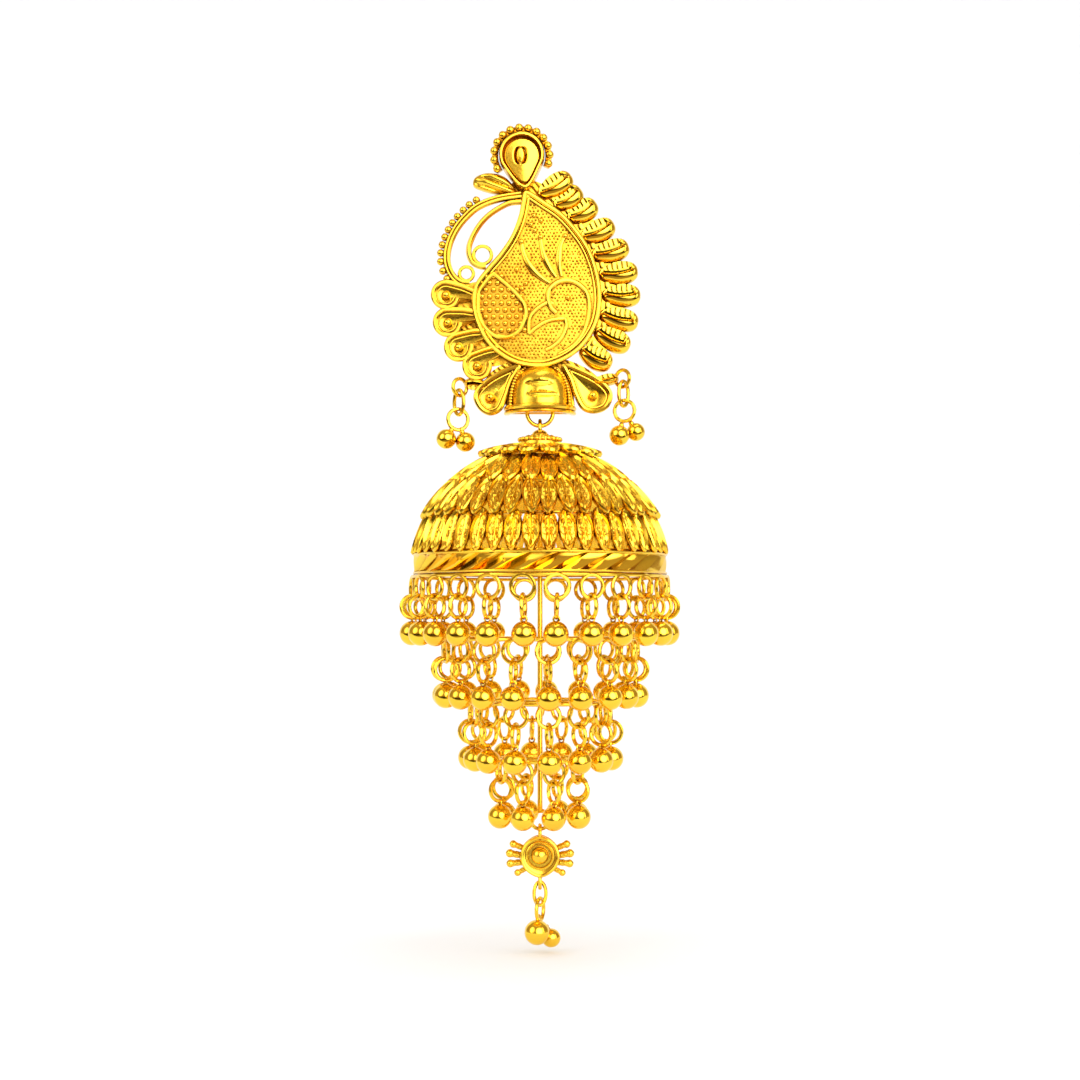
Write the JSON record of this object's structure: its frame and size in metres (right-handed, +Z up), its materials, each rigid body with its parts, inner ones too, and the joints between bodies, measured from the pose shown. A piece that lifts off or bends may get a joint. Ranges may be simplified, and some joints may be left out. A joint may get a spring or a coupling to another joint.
{
  "type": "jhumka earring",
  "caption": "Gold jhumka earring: pierced teardrop plaque on an ear post, with a half-round dome, tiers of bead drops and a pendant hanging below it on a wire ring.",
  "frame": {"origin": "centre of the ear post where it leaves the plaque's flat back", "axes": "+Z up, the way the earring hangs; the front faces -Y; +Y along the ear post, into the ear; +X to the right as seen from the front"},
  "size_m": [0.0286, 0.0286, 0.0851],
  "materials": {
    "worked_gold": "chased and diamond-cut yellow gold, bright on the cuts and darker in the recesses",
    "plain_gold": "plain polished yellow gold with fine wear",
    "wire_gold": "drawn and polished yellow gold wire",
    "bead_gold": "polished yellow gold beads"
  },
  "bodies": {
    "root": {"plaque": "worked_gold", "ear_post": "plain_gold", "left_drop_link": "wire_gold", "left_drop_beads": "bead_gold", "right_drop_link": "wire_gold", "right_drop_beads": "bead_gold"},
    "link": {"hang_link": "wire_gold"},
    "jhumka": {"dome": "worked_gold", "tier_frame": "plain_gold", "bead_tier_1": "bead_gold", "bead_tier_2": "bead_gold", "bead_tier_3": "bead_gold", "bead_tier_4": "bead_gold", "pendant": "worked_gold", "pendant_link": "wire_gold", "pendant_beads": "bead_gold"}
  },
  "joints": [
    {"name": "swing_side", "type": "hinge", "parent": "root", "child": "link", "pos_m": [0, -0.0018, -0.01548], "axis": [0, 1, 0], "range_deg": [-7, 7]},
    {"name": "swing_front", "type": "hinge", "parent": "link", "child": "jhumka", "pos_m": [0, -0.0018, -0.01762], "axis": [1, 0, 0], "range_deg": [-20, 20]}
  ]
}
